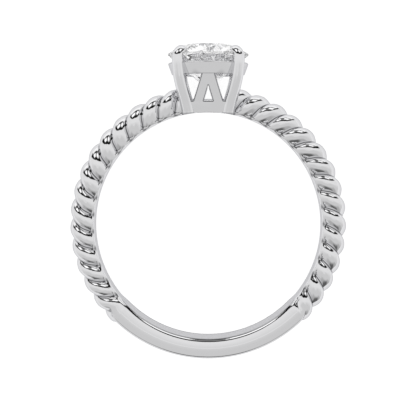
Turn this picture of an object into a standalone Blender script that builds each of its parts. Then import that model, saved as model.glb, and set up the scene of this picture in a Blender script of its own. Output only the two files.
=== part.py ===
# Solitaire engagement ring with a twisted rope shank, lying on its side.
#
# The ring is modelled upright in its own frame, with the finger axis along Y, the stone at +Z and
# the middle of the finger hole at the origin. An empty then lays the finished ring on its side, so
# that it rests on the gallery rail and on the sizing bar, with the stone towards +Y.

import math

import bmesh
import bpy
from mathutils import Matrix, Vector

# Finger hole and band
BORE_RADIUS = 0.00865            # US size 7, 17.3 mm across
BAND_WIDTH = 0.00200             # along the finger, at the finger hole
ROPE_WIDTH = 0.00212             # along the finger, at the widest part of the rope
ROPE_THICKNESS_AT_HEAD = 0.00203
ROPE_THICKNESS_AT_BAR = 0.00183
BAR_THICKNESS = 0.00160
BAR_WIDTH = 0.00202
BAR_EDGE_RADIUS = 0.00042        # outer edges of the sizing bar
BAR_INNER_BEVEL = 0.00014        # edges of the sizing bar at the finger hole

# Twist of the rope: two strands, so each strand turns once round in two lobes
STRANDS = 2
LOBES_PER_ARM = 15
FIRST_LOBE_ANGLE = math.radians(15.55)   # from the head, along the ring
LAST_LOBE_ANGLE = math.radians(133.85)
GROOVE_DEPTH = 0.00034
GROOVE_ROUNDNESS = 0.86          # 0 gives a shallow wave, nearly 1 gives round strands
GROOVE_FADE_START = 0.00090      # above the finger hole, where the grooves begin to fade
BAR_SHOULDER = 0.00040           # length over which the sizing bar rises out of the last groove
SECTION_SWING = math.radians(52) # how far a section turns below the rope's widest point

# Stone: a round brilliant
STONE_DIAMETER = 0.00610
TABLE_SHARE = 0.57               # of the stone's diameter, as gem cutters give it
CROWN_ANGLE = math.radians(27.5)
PAVILION_ANGLE = math.radians(39.5)
STAR_LENGTH_SHARE = 0.50         # of the way from the table to the girdle
LOWER_GIRDLE_SHARE = 0.77        # of the way from the girdle to the culet
GIRDLE_THICKNESS = 0.00014
MAIN_FACETS = 8
GIRDLE_HEIGHT = 0.00431          # middle of the girdle above the finger hole
SEAT_CLEARANCE = 0.00005         # between the stone and the metal

# Gallery rail, a ring below the girdle
RAIL_DROP = 0.00060              # from the girdle down to the rail's top
RAIL_HEIGHT = 0.00091
RAIL_THICKNESS = 0.00060
RAIL_TAPER = 0.00030             # the rail's outside is this much smaller at its bottom
RAIL_CHAMFER = 0.00010

# Claws
CLAW_COUNT = 4
CLAW_DIAMETER = 0.00092
CLAW_FOOT_DIAMETER = 0.00102
CLAW_GRIP = 0.00040              # how far a claw reaches in under and over the girdle
CLAW_FOOT_SPREAD = 0.00145       # of a claw's middle from the head's axis, along X and along Y
CLAW_TIP_LENGTH = 0.00080        # from the girdle's edge inwards, over the crown
CLAW_TIP_HEIGHT = 0.00058        # of the tip above the girdle

# A claw's stem: height from the finger hole to the girdle, and spread from foot to top, as shares
CLAW_STEM = [
    # height, spread
    (0.00, 0.00),
    (0.17, 0.22),
    (0.32, 0.47),
    (0.47, 0.70),
    (0.61, 0.87),
    (0.75, 0.96),
    (0.86, 1.00),
    (0.96, 1.00),
]

# A claw's tip: way from the stem's top to the tip, inwards and upwards, and width, as shares
CLAW_TIP = [
    # inward, upward, width
    (0.05, 0.26, 0.98),
    (0.16, 0.46, 0.93),
    (0.29, 0.64, 0.86),
    (0.48, 0.80, 0.75),
    (0.66, 0.90, 0.64),
    (0.85, 0.97, 0.50),
    (1.00, 1.00, 0.32),
]

# Pierced front and back of the setting
LATTICE_THICKNESS = 0.00060
LATTICE_TOP_WIDTH = 0.00092
LEG_FOOT_WIDTH = 0.00072
INNER_WINDOW_WIDTH = 0.00073
INNER_WINDOW_HEIGHT = 0.00118
SILL_HEIGHT = 0.00080            # of the windows' lower ends above the finger hole
BASE_HALF_LENGTH = 0.00188       # of the block under the windows, along X
LIGHT_HOLE_DIAMETER = 0.00180    # through the base, under the stone

# Fineness of the mesh
RINGS_PER_LOBE = 6
SECTION_STEPS = 16
BAR_RINGS = 16
BORE_SEGMENTS = 120
RAIL_SEGMENTS = 48
CLAW_SIDES = 10

# Slack that lets one piece reach into the next before they are joined or cut
OVERLAP = 0.00020
CLAW_PIVOT_GAP = 0.00004         # from the pivot of a claw's bend to its inner side
CUTTER_LENGTH = 0.01000

# Sizes worked out from the ones above
BAND_HALF = BAND_WIDTH / 2
ROPE_HALF = ROPE_WIDTH / 2
BAR_HALF = BAR_WIDTH / 2
LOBE_PITCH = (LAST_LOBE_ANGLE - FIRST_LOBE_ANGLE) / (LOBES_PER_ARM - 1)
ROPE_END_ANGLE = LAST_LOBE_ANGLE + LOBE_PITCH / 2
TWIST_PER_TURN = STRANDS * LOBE_PITCH / (2 * math.pi)   # along the ring, per radian round the rope
STONE_RADIUS = STONE_DIAMETER / 2
GIRDLE_Z = BORE_RADIUS + GIRDLE_HEIGHT
RAIL_TOP_Z = GIRDLE_Z - RAIL_DROP
RAIL_BOTTOM_Z = RAIL_TOP_Z - RAIL_HEIGHT
RAIL_TOP_RADIUS = STONE_RADIUS
RAIL_BOTTOM_RADIUS = RAIL_TOP_RADIUS - RAIL_TAPER
SILL_Z = BORE_RADIUS + SILL_HEIGHT
CLAW_RADIUS = CLAW_DIAMETER / 2
CLAW_TOP_REACH = STONE_RADIUS + CLAW_RADIUS - CLAW_GRIP
CLAW_FOOT_REACH = CLAW_FOOT_SPREAD * math.sqrt(2)
CROWN_HEIGHT = STONE_RADIUS * (1 - TABLE_SHARE) * math.tan(CROWN_ANGLE)
PAVILION_DEPTH = STONE_RADIUS * math.tan(PAVILION_ANGLE)


def clear_scene():
    for old in list(bpy.data.objects):
        bpy.data.objects.remove(old, do_unlink=True)


def new_collection(name):
    collection = bpy.data.collections.new(name)
    bpy.context.scene.collection.children.link(collection)
    return collection


def new_material(name, color, metallic, roughness, transmission=0.0, ior=1.5):
    material = bpy.data.materials.new(name)
    material.use_nodes = True
    shader = material.node_tree.nodes["Principled BSDF"]
    shader.inputs["Base Color"].default_value = (*color, 1.0)
    shader.inputs["Metallic"].default_value = metallic
    shader.inputs["Roughness"].default_value = roughness
    shader.inputs["Transmission Weight"].default_value = transmission
    shader.inputs["IOR"].default_value = ior
    return material


def mesh_object(name, shape, collection, material=None):
    # Turns a finished bmesh into an object with its faces pointing out.
    bmesh.ops.recalc_face_normals(shape, faces=shape.faces)
    mesh = bpy.data.meshes.new(name)
    shape.to_mesh(mesh)
    shape.free()
    if material is not None:
        mesh.materials.append(material)
    obj = bpy.data.objects.new(name, mesh)
    collection.objects.link(obj)
    return obj


def hide_as_cutter(obj):
    obj.hide_render = True
    obj.display_type = "WIRE"
    return obj


def baked_copy(obj, collection):
    # A plain mesh of the object as its modifiers leave it; the original is removed.
    bpy.context.view_layer.update()
    evaluated = obj.evaluated_get(bpy.context.evaluated_depsgraph_get())
    mesh = bpy.data.meshes.new_from_object(evaluated)
    copy = bpy.data.objects.new(obj.name + "_mesh", mesh)
    copy.matrix_world = obj.matrix_world
    collection.objects.link(copy)
    bpy.data.objects.remove(obj, do_unlink=True)
    return copy


def weld(obj, distance=1e-7):
    # Merges doubled points and closes the hair-thin gaps that a cut can leave between flat faces.
    shape = bmesh.new()
    shape.from_mesh(obj.data)
    bmesh.ops.remove_doubles(shape, verts=shape.verts, dist=distance)
    gaps = [edge for edge in shape.edges if edge.is_boundary]
    if gaps:
        bmesh.ops.holes_fill(shape, edges=gaps, sides=4)
    bmesh.ops.recalc_face_normals(shape, faces=shape.faces)
    shape.to_mesh(obj.data)
    shape.free()


def apply_modifiers(obj):
    bpy.context.view_layer.update()
    evaluated = obj.evaluated_get(bpy.context.evaluated_depsgraph_get())
    mesh = bpy.data.meshes.new_from_object(evaluated)
    obj.modifiers.clear()
    obj.data = mesh
    weld(obj)


def add_boolean(obj, other, operation):
    modifier = obj.modifiers.new(operation.lower() + "_" + other.name, "BOOLEAN")
    modifier.operation = operation
    modifier.solver = "EXACT"
    modifier.object = other


def loft(loops):
    # A closed skin through rings of equally many points, with both ends capped.
    shape = bmesh.new()
    rings = [[shape.verts.new(point) for point in loop] for loop in loops]
    for ring, following in zip(rings, rings[1:]):
        for i in range(len(ring)):
            j = (i + 1) % len(ring)
            shape.faces.new((ring[i], ring[j], following[j], following[i]))
    for ring in (rings[0], rings[-1]):
        shape.faces.new(ring)
    return shape


# Shank

def rope_thickness(angle):
    # Thickest at the head and thinnest at the sizing bar, like two circles a little off centre.
    share = (1 + math.cos(angle)) / (1 + math.cos(0.0))
    end_share = (1 + math.cos(ROPE_END_ANGLE)) / (1 + math.cos(0.0))
    share = (share - end_share) / (1 - end_share)
    return ROPE_THICKNESS_AT_BAR + (ROPE_THICKNESS_AT_HEAD - ROPE_THICKNESS_AT_BAR) * share


def groove_depth(lobe_phase):
    # 0 on a strand's crest (phase 0) and 1 at the bottom of a groove (phase 0.5), along an arc.
    off_crest = 2 * abs(lobe_phase - round(lobe_phase))
    drop = 1 - math.sqrt(1 - (GROOVE_ROUNDNESS * off_crest) ** 2)
    return drop / (1 - math.sqrt(1 - GROOVE_ROUNDNESS ** 2))


def rope_section(turn, thickness, depth_share):
    # Half a round on the outside, nearly straight sides below it down to the finger hole.
    # Returns the distance above the finger hole and along the finger (front negative).
    middle = thickness - ROPE_HALF
    if turn < 0 or turn > math.pi:
        sine = math.sin(turn)
        lowest = math.sin(-SECTION_SWING)
        above = middle + (middle + OVERLAP) * sine / abs(lowest)
        taper = (ROPE_HALF - BAND_HALF) * min(1.0, (middle - above) / middle) ** 2
        side = ROPE_HALF - taper
        across = -side if turn < 0 else side
        outward = Vector((0.0, -1.0 if turn < 0 else 1.0))
    else:
        above = middle + ROPE_HALF * math.sin(turn)
        across = -ROPE_HALF * math.cos(turn)
        outward = Vector((math.sin(turn), -math.cos(turn)))
    fade = min(1.0, max(0.0, above / GROOVE_FADE_START))
    sink = GROOVE_DEPTH * depth_share * fade * fade * (3 - 2 * fade)
    return above - outward.x * sink, across - outward.y * sink


def bar_section(turn, thickness):
    # Flat sides, rounded outer edges and a gently crowned outside, with a bevel at the finger hole.
    inner = -OVERLAP
    flat_top = thickness - BAR_EDGE_RADIUS
    if turn < 0 or turn > math.pi:
        sine = math.sin(turn) / math.sin(SECTION_SWING)
        above = flat_top * (1 + sine) + inner * -sine
        side = BAR_HALF - max(0.0, BAR_INNER_BEVEL - max(above, 0.0))
        return above, (-side if turn < 0 else side)
    corner = BAR_HALF - BAR_EDGE_RADIUS
    direction = -math.cos(turn)
    crown = math.sin(turn)
    above = flat_top + BAR_EDGE_RADIUS * crown ** 0.6
    across = corner * direction + BAR_EDGE_RADIUS * math.copysign(abs(direction) ** 0.6, direction)
    return above, across


def shank_rings():
    # One entry for each ring of the loft: angle at the outside, lobe phase, share of sizing bar.
    arm = []
    first_step = -math.floor((FIRST_LOBE_ANGLE / LOBE_PITCH) * RINGS_PER_LOBE)
    last_step = (LOBES_PER_ARM - 1) * RINGS_PER_LOBE + RINGS_PER_LOBE // 2
    for step in range(first_step, last_step + 1):
        phase = step / RINGS_PER_LOBE
        arm.append((FIRST_LOBE_ANGLE + phase * LOBE_PITCH, phase, 0.0))
    shoulder = BAR_SHOULDER / (BORE_RADIUS + BAR_THICKNESS)
    bar_start = ROPE_END_ANGLE
    bar_end = 2 * math.pi - ROPE_END_ANGLE
    bar = [(bar_start + 0.4 * shoulder, 0.5, 0.75)]
    for step in range(BAR_RINGS + 1):
        share = step / BAR_RINGS
        angle = bar_start + shoulder + share * (bar_end - bar_start - 2 * shoulder)
        bar.append((angle, 0.0, 1.0))
    bar.append((bar_end - 0.4 * shoulder, 0.5, 0.75))
    far_arm = [(2 * math.pi - angle, phase, share) for angle, phase, share in reversed(arm)]
    return arm + bar + far_arm


def shank_point(outer_angle, phase, bar_share, turn):
    angle = outer_angle + TWIST_PER_TURN * (turn - math.pi / 2)
    from_head = abs(outer_angle) if outer_angle <= math.pi else 2 * math.pi - outer_angle
    rope_above, rope_across = rope_section(turn, rope_thickness(min(from_head, ROPE_END_ANGLE)),
                                           groove_depth(phase))
    bar_above, bar_across = bar_section(turn, BAR_THICKNESS)
    above = rope_above + (bar_above - rope_above) * bar_share
    across = rope_across + (bar_across - rope_across) * bar_share
    radius = BORE_RADIUS + above
    return Vector((radius * math.sin(angle), across, radius * math.cos(angle)))


def make_shank(collection):
    # A loft whose rings run along the strands, so that each crest and groove is a line of edges.
    turns = [-SECTION_SWING + (math.pi + 2 * SECTION_SWING) * step / SECTION_STEPS
             for step in range(SECTION_STEPS + 1)]
    shape = loft([[shank_point(angle, phase, bar_share, turn) for turn in turns]
                  for angle, phase, bar_share in shank_rings()])
    # The ends at the head are cut off square, just inside the setting.
    cut_x = BASE_HALF_LENGTH - OVERLAP / 2
    for side in (-1, 1):
        upper = [f for f in shape.faces if f.calc_center_median().z > 0]
        around = {e for f in upper for e in f.edges} | {v for f in upper for v in f.verts}
        bmesh.ops.bisect_plane(shape, geom=upper + list(around),
                               plane_co=(side * cut_x, 0, 0), plane_no=(side, 0, 0))
    within = [v for v in shape.verts if v.co.z > 0 and abs(v.co.x) < cut_x - 1e-8]
    bmesh.ops.delete(shape, geom=within, context="VERTS")
    for side in (-1, 1):
        rim = [e for e in shape.edges if e.is_boundary and e.verts[0].co.x * side > 0]
        bmesh.ops.contextual_create(shape, geom=rim)
    return mesh_object("shank", shape, collection)


# Setting

def turned(name, profile, closed, collection):
    # A profile of (radius, height) points, turned about the head's axis. It starts half a step
    # round, so that the claws' middles meet its flats and not its edges.
    start = math.pi / RAIL_SEGMENTS
    shape = bmesh.new()
    verts = [shape.verts.new((radius * math.cos(start), radius * math.sin(start), height))
             for radius, height in profile]
    pairs = list(zip(verts, verts[1:]))
    if closed:
        pairs.append((verts[-1], verts[0]))
    edges = [shape.edges.new(pair) for pair in pairs]
    bmesh.ops.spin(shape, geom=verts + edges, cent=(0, 0, 0), axis=(0, 0, 1),
                   angle=2 * math.pi, steps=RAIL_SEGMENTS, use_merge=True)
    bmesh.ops.remove_doubles(shape, verts=shape.verts, dist=1e-7)
    return mesh_object(name, shape, collection)


def make_rail(collection):
    inner_top = RAIL_TOP_RADIUS - RAIL_THICKNESS
    inner_bottom = RAIL_BOTTOM_RADIUS - RAIL_THICKNESS
    profile = [
        (RAIL_TOP_RADIUS - RAIL_CHAMFER, RAIL_TOP_Z),
        (RAIL_TOP_RADIUS, RAIL_TOP_Z - RAIL_CHAMFER),
        (RAIL_BOTTOM_RADIUS, RAIL_BOTTOM_Z),
        (inner_bottom, RAIL_BOTTOM_Z),
        (inner_top, RAIL_TOP_Z),
    ]
    return turned("gallery_rail", profile, True, collection)


def claw_loops():
    # Rings round the claw, as (distance from the head's axis, distance to one side, height).
    # The stem's rings are level; the tip's turn about a pivot just inside the stem's top.
    turns = [2 * math.pi * step / CLAW_SIDES for step in range(CLAW_SIDES)]
    stem = [(CLAW_FOOT_REACH, BORE_RADIUS - 2 * OVERLAP, CLAW_FOOT_DIAMETER / 2)]
    for height, spread in CLAW_STEM:
        reach = CLAW_FOOT_REACH + (CLAW_TOP_REACH - CLAW_FOOT_REACH) * spread
        radius = (CLAW_FOOT_DIAMETER + (CLAW_DIAMETER - CLAW_FOOT_DIAMETER) * spread) / 2
        stem.append((reach, BORE_RADIUS + GIRDLE_HEIGHT * height, radius))
    loops = [[(reach + radius * math.cos(turn), radius * math.sin(turn), height) for turn in turns]
             for reach, height, radius in stem]
    top_reach, top_z, _ = stem[-1]
    pivot = Vector((top_reach - CLAW_RADIUS - CLAW_PIVOT_GAP, top_z))
    outside = Vector((top_reach + CLAW_RADIUS, top_z))
    tip = Vector((STONE_RADIUS - CLAW_TIP_LENGTH, GIRDLE_Z + CLAW_TIP_HEIGHT))
    for inward, upward, width in CLAW_TIP:
        outer = Vector((outside.x + (tip.x - outside.x) * inward,
                        outside.y + (tip.y - outside.y) * upward))
        inner = pivot + (outer - pivot).normalized() * CLAW_PIVOT_GAP
        middle, half = (outer + inner) / 2, (outer - inner) / 2
        loop = []
        for turn in turns:
            point = middle + half * math.cos(turn)
            loop.append((point.x, CLAW_RADIUS * width * math.sin(turn), point.y))
        loops.append(loop)
    return loops


def make_claw(index, collection):
    angle = (index + 0.5) * 2 * math.pi / CLAW_COUNT
    turned_round = Matrix.Rotation(angle, 3, "Z")
    loops = [[turned_round @ Vector(point) for point in loop] for loop in claw_loops()]
    return mesh_object("claw_%d" % index, loft(loops), collection)


def lattice_lean():
    # The front leans out from the claws' feet to the rail's lower edge.
    foot_front = CLAW_FOOT_SPREAD + CLAW_RADIUS - LATTICE_THICKNESS / 4
    top_front = RAIL_BOTTOM_RADIUS - OVERLAP / 4
    return foot_front, math.atan2(top_front - foot_front, RAIL_BOTTOM_Z - BORE_RADIUS)


def make_lattice(side, collection):
    # The flat outline of two legs on a sill, with the small window between the legs.
    foot_front, lean = lattice_lean()
    along = 1 / math.cos(lean)
    bottom = -OVERLAP * along
    sill = SILL_HEIGHT * along
    top = (RAIL_BOTTOM_Z - BORE_RADIUS + RAIL_HEIGHT / 4) * along
    rail_bottom = (RAIL_BOTTOM_Z - BORE_RADIUS) * along
    leg_foot = INNER_WINDOW_WIDTH / 2 + LEG_FOOT_WIDTH
    corner = CLAW_FOOT_SPREAD
    half_top = LATTICE_TOP_WIDTH / 2
    outline = [
        (-corner, bottom), (corner, bottom), (corner, sill), (leg_foot, sill),
        (half_top, rail_bottom), (half_top, top), (-half_top, top), (-half_top, rail_bottom),
        (-leg_foot, sill), (-corner, sill),
    ]
    window = [
        (-INNER_WINDOW_WIDTH / 2, sill), (INNER_WINDOW_WIDTH / 2, sill),
        (0.0, sill + INNER_WINDOW_HEIGHT * along),
    ]
    curve = bpy.data.curves.new("lattice_outline", "CURVE")
    curve.dimensions = "2D"
    curve.fill_mode = "BOTH"
    curve.extrude = LATTICE_THICKNESS / 2
    for points in (outline, window):
        spline = curve.splines.new("POLY")
        spline.points.add(len(points) - 1)
        for point, (x, height) in zip(spline.points, points):
            point.co = (x, height, 0.0, 1.0)
        spline.use_cyclic_u = True
    obj = bpy.data.objects.new("lattice_%s" % ("front" if side < 0 else "back"), curve)
    collection.objects.link(obj)
    # The curve lies in its XY plane; it is stood up, leaned out and moved to its side.
    stand = Matrix.Rotation(math.pi / 2, 4, "X")
    lean_out = Matrix.Rotation(lean, 4, "X")
    shift = Matrix.Translation((0, -(foot_front - LATTICE_THICKNESS / 2), BORE_RADIUS))
    turn_round = Matrix.Rotation(0 if side < 0 else math.pi, 4, "Z")
    obj.matrix_world = turn_round @ shift @ lean_out @ stand
    lattice = baked_copy(obj, collection)
    weld(lattice)
    return lattice


def make_base(collection):
    # A block between the claws' feet, under the windows.
    foot_front, lean = lattice_lean()
    bottom_z = BORE_RADIUS - 1.5 * OVERLAP
    top_z = SILL_Z - OVERLAP / 10
    shape = bmesh.new()
    bmesh.ops.create_cube(shape, size=1.0)
    half_x = BASE_HALF_LENGTH
    half_y = foot_front - LATTICE_THICKNESS / 2
    grow = (SILL_HEIGHT + OVERLAP) * math.tan(lean)
    for vert in shape.verts:
        upper = vert.co.z > 0
        vert.co.x = math.copysign(half_x, vert.co.x)
        vert.co.y = math.copysign(half_y + (grow if upper else 0.0), vert.co.y)
        vert.co.z = top_z if upper else bottom_z
    return mesh_object("base", shape, collection)


# Stone

def ring_point(radius, azimuth, height):
    return Vector((radius * math.cos(azimuth), radius * math.sin(azimuth), height))


def make_stone(collection, material):
    # A round brilliant: the hull of its facets' corners, tier by tier from the table to the culet.
    step = 2 * math.pi / MAIN_FACETS
    half_girdle = GIRDLE_THICKNESS / 2
    slant = math.cos(step / 2)
    table_edge = TABLE_SHARE * STONE_RADIUS * slant
    star_tip = table_edge + (STONE_RADIUS - table_edge) * STAR_LENGTH_SHARE
    star_tip_z = half_girdle + (STONE_RADIUS - star_tip * slant) * math.tan(CROWN_ANGLE)
    low_tip = STONE_RADIUS * (1 - LOWER_GIRDLE_SHARE)
    low_tip_z = -half_girdle - (STONE_RADIUS - low_tip * slant) * math.tan(PAVILION_ANGLE)
    shape = bmesh.new()
    for i in range(MAIN_FACETS):
        star, main = i * step, (i + 0.5) * step
        corners = [
            ring_point(TABLE_SHARE * STONE_RADIUS, main, half_girdle + CROWN_HEIGHT),
            ring_point(star_tip, star, star_tip_z),
            ring_point(low_tip, star, low_tip_z),
        ]
        corners += [ring_point(STONE_RADIUS, azimuth, way * half_girdle)
                    for azimuth in (star, main) for way in (-1, 1)]
        for corner in corners:
            shape.verts.new(corner)
    shape.verts.new((0, 0, -half_girdle - PAVILION_DEPTH))
    bmesh.ops.convex_hull(shape, input=shape.verts)
    bmesh.ops.dissolve_limit(shape, angle_limit=math.radians(0.3), verts=shape.verts,
                             edges=shape.edges)
    bmesh.ops.translate(shape, verts=shape.verts, vec=(0, 0, GIRDLE_Z))
    return mesh_object("diamond", shape, collection, material)


# Cutters

def make_bore_cutter(collection):
    shape = bmesh.new()
    bmesh.ops.create_cone(shape, cap_ends=True, segments=BORE_SEGMENTS, radius1=BORE_RADIUS,
                          radius2=BORE_RADIUS, depth=CUTTER_LENGTH,
                          matrix=Matrix.Rotation(math.pi / 2, 4, "X"))
    return hide_as_cutter(mesh_object("finger_hole_cutter", shape, collection))


def make_light_hole_cutter(collection):
    shape = bmesh.new()
    bmesh.ops.create_cone(shape, cap_ends=True, segments=RAIL_SEGMENTS // 2,
                          radius1=LIGHT_HOLE_DIAMETER / 2, radius2=LIGHT_HOLE_DIAMETER / 2,
                          depth=2 * SILL_HEIGHT + 2 * OVERLAP,
                          matrix=Matrix.Translation((0, 0, BORE_RADIUS)))
    return hide_as_cutter(mesh_object("light_hole_cutter", shape, collection))


def make_seat_cutter(collection):
    # The stone's own outline, turned, with the clearance added all round.
    half = GIRDLE_THICKNESS / 2 + SEAT_CLEARANCE
    rim = STONE_RADIUS + SEAT_CLEARANCE
    crown = half + SEAT_CLEARANCE + rim * math.tan(CROWN_ANGLE)
    pavilion = half + SEAT_CLEARANCE + rim * math.tan(PAVILION_ANGLE)
    profile = [
        (0.0, GIRDLE_Z + crown),
        (rim, GIRDLE_Z + half + SEAT_CLEARANCE),
        (rim, GIRDLE_Z - half - SEAT_CLEARANCE),
        (0.0, GIRDLE_Z - pavilion),
    ]
    return hide_as_cutter(turned("stone_seat_cutter", profile, False, collection))


# Resting place

def lying_matrix(objects):
    # Laid on its side, the ring touches the ground with the rail's upper edge and the sizing bar.
    bar_contact = BORE_RADIUS + BAR_THICKNESS - BAR_EDGE_RADIUS
    tilt = math.atan2(RAIL_TOP_RADIUS - BAR_HALF, RAIL_TOP_Z - RAIL_CHAMFER + bar_contact)
    turned_down = Matrix.Rotation(tilt - math.pi / 2, 4, "X")
    corners = [turned_down @ v.co for obj in objects for v in obj.data.vertices]
    lowest = min(corner.z for corner in corners)
    middle_y = (min(c.y for c in corners) + max(c.y for c in corners)) / 2
    middle_x = (min(c.x for c in corners) + max(c.x for c in corners)) / 2
    return Matrix.Translation((-middle_x, -middle_y, -lowest)) @ turned_down


def main():
    clear_scene()
    ring = new_collection("solitaire_engagement_ring")
    cutters = new_collection("cutters")
    white_gold = new_material("white_gold", (0.83, 0.83, 0.84), 1.0, 0.06)
    diamond = new_material("diamond", (1.0, 1.0, 1.0), 0.0, 0.0, transmission=1.0, ior=2.418)

    band = make_shank(ring)
    band.name = "band_with_setting"
    band.data.materials.append(white_gold)
    joined = [make_rail(cutters), make_base(cutters)]
    joined += [make_lattice(side, cutters) for side in (-1, 1)]
    joined += [make_claw(index, cutters) for index in range(CLAW_COUNT)]
    for piece in joined:
        add_boolean(band, hide_as_cutter(piece), "UNION")
    apply_modifiers(band)
    add_boolean(band, make_bore_cutter(cutters), "DIFFERENCE")
    add_boolean(band, make_light_hole_cutter(cutters), "DIFFERENCE")
    add_boolean(band, make_seat_cutter(cutters), "DIFFERENCE")
    apply_modifiers(band)
    band.data.shade_smooth()
    band.data.set_sharp_from_angle(angle=math.radians(35))
    stone = make_stone(ring, diamond)

    rest = bpy.data.objects.new("ring_lying_on_its_side", None)
    ring.objects.link(rest)
    rest.matrix_world = lying_matrix([band, stone])
    for obj in (band, stone):
        obj.parent = rest


main()
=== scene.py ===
import math

import bmesh
import bpy
from mathutils import Matrix, Vector


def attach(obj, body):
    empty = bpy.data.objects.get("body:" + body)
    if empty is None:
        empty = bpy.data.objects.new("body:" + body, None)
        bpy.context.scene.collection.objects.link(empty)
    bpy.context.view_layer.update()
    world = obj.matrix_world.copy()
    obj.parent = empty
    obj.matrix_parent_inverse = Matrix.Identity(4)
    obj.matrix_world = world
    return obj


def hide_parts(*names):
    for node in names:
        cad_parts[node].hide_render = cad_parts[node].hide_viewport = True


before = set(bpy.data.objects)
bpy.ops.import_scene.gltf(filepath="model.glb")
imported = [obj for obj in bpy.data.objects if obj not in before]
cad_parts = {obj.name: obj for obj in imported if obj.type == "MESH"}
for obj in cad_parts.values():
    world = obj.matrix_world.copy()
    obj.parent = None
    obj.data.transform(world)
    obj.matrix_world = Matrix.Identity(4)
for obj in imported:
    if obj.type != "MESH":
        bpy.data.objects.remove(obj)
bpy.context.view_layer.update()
print("loaded the frame:", sorted(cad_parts))

# The ring is shaped upright, in millimetres: the finger goes along Y, the stone is at +Z and the
# middle of the finger hole is at the origin. lying then puts it down on its side, in metres.
place = {
    "tilt": 5.276,                 # degrees between the ring and the floor
    "centre": (0.0, -0.001787, 0.001913),   # of the finger hole, in metres
    "millimetre": 0.001,
}
lying = (Matrix.Translation(place["centre"])
         @ Matrix.Rotation(math.radians(place["tilt"] - 90), 4, "X")
         @ Matrix.Scale(place["millimetre"], 4))


# Shared ways of making a mesh

making = {
    "weld": 1e-4,                  # points closer than this become one
    "plane": 1e-5,                 # points this close to a cutting plane lie on it
    "edgeSegments": 3,
    "edgeAngles": (17.0, 27.0),    # a bend begins to count as an edge, and counts in full
    "sharpAngle": 50.0,            # bends over this stay sharp in the shading
}


def gridPiece(rows, columns, pointAt):
    # A grid bent into a tube: pointAt gives the place for (row, column); the last column meets
    # the first one and is welded to it.
    shape = bmesh.new()
    shape.loops.layers.uv.new("surfaceMap")
    bmesh.ops.create_grid(shape, x_segments=rows, y_segments=columns, size=1.0, calc_uvs=True)
    for vert in shape.verts:
        row = round((vert.co.x + 1) / 2 * rows)
        column = round((vert.co.y + 1) / 2 * columns)
        vert.co = pointAt(row, column)
    bmesh.ops.remove_doubles(shape, verts=shape.verts, dist=making["weld"])
    return shape


def closeEnds(shape):
    rims = [edge for edge in shape.edges if edge.is_boundary]
    bmesh.ops.holes_fill(shape, edges=rims, sides=0)


def turnedRing(profile, steps, closed=True):
    # (radius, height) points, turned about the head's axis.
    shape = bmesh.new()
    verts = [shape.verts.new((radius, 0.0, height)) for radius, height in profile]
    pairs = list(zip(verts, verts[1:]))
    if closed:
        pairs.append((verts[-1], verts[0]))
    edges = [shape.edges.new(pair) for pair in pairs]
    bmesh.ops.spin(shape, geom=verts + edges, cent=(0, 0, 0), axis=(0, 0, 1),
                   angle=2 * math.pi, steps=steps, use_merge=True)
    bmesh.ops.remove_doubles(shape, verts=shape.verts, dist=making["weld"])
    return shape


def roundEdges(shape, edges, width, clamp=True):
    bmesh.ops.bevel(shape, geom=edges, offset=width, offset_type="OFFSET",
                    segments=making["edgeSegments"], profile=0.5, affect="EDGES",
                    clamp_overlap=clamp, material=-1)


def sharpEdges(shape, degrees):
    return [edge for edge in shape.edges
            if len(edge.link_faces) == 2 and edge.calc_face_angle(0.0) > math.radians(degrees)]


def markPaintedEdgeShade(shape, flatOver):
    # Tells the material where to paint shade along the rounded edges: 1 in the middle of each, 0 on
    # open faces. The dark lines are painted shade, standing in for the dark reflections that rounded
    # edges show.
    low, high = (math.radians(angle) for angle in making["edgeAngles"])
    layer = shape.verts.layers.float.new("edgeShade")
    for vert in shape.verts:
        bends = [edge.calc_face_angle(0.0) for edge in vert.link_edges
                 if len(edge.link_faces) == 2]
        onOpenFace = flatOver and any(face.calc_area() > flatOver for face in vert.link_faces)
        bend = max(bends, default=0.0)
        vert[layer] = 0.0 if onOpenFace else blendOver((bend - low) / (high - low))


def newObject(name, shape):
    mesh = bpy.data.meshes.new(name)
    shape.to_mesh(mesh)
    shape.free()
    item = bpy.data.objects.new(name, mesh)
    bpy.context.scene.collection.objects.link(item)
    return item


def addShape(whole, shape):
    mesh = bpy.data.meshes.new("addedShape")
    shape.to_mesh(mesh)
    shape.free()
    whole.from_mesh(mesh)
    bpy.data.meshes.remove(mesh)


def finishPiece(name, shape, material, smooth=True, sharpAngle=making["sharpAngle"],
                flatOver=None):
    # Faces larger than flatOver, in square millimetres, are shaded flat and get no painted edge
    # shade.
    bmesh.ops.recalc_face_normals(shape, faces=shape.faces)
    for face in shape.faces:
        face.smooth = smooth and (flatOver is None or face.calc_area() < flatOver)
    markPaintedEdgeShade(shape, flatOver)
    piece = newObject(name, shape)
    piece.data.transform(lying)
    if smooth:
        piece.data.set_sharp_from_angle(angle=math.radians(sharpAngle))
    piece.data.materials.append(material)
    return piece


def plainObject(name, shape):
    bmesh.ops.recalc_face_normals(shape, faces=shape.faces)
    return newObject(name, shape)


def cutAway(shape, cutters):
    # The shape less its cutters, as a bmesh again.
    body = plainObject("body", shape)
    for index, cutter in enumerate(cutters):
        cut = body.modifiers.new("cut%d" % index, "BOOLEAN")
        cut.operation = "DIFFERENCE"
        cut.solver = "EXACT"
        cut.object = cutter
    bpy.context.view_layer.update()
    result = bmesh.new()
    result.from_object(body, bpy.context.evaluated_depsgraph_get())
    bpy.data.objects.remove(body, do_unlink=True)
    bmesh.ops.remove_doubles(result, verts=result.verts, dist=making["weld"])
    return result


def blendOver(share):
    share = min(1.0, max(0.0, share))
    return share * share * (3 - 2 * share)


# Materials

noiseSpread = (0.3, 0.7)           # most of a noise node's values lie between these

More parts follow.
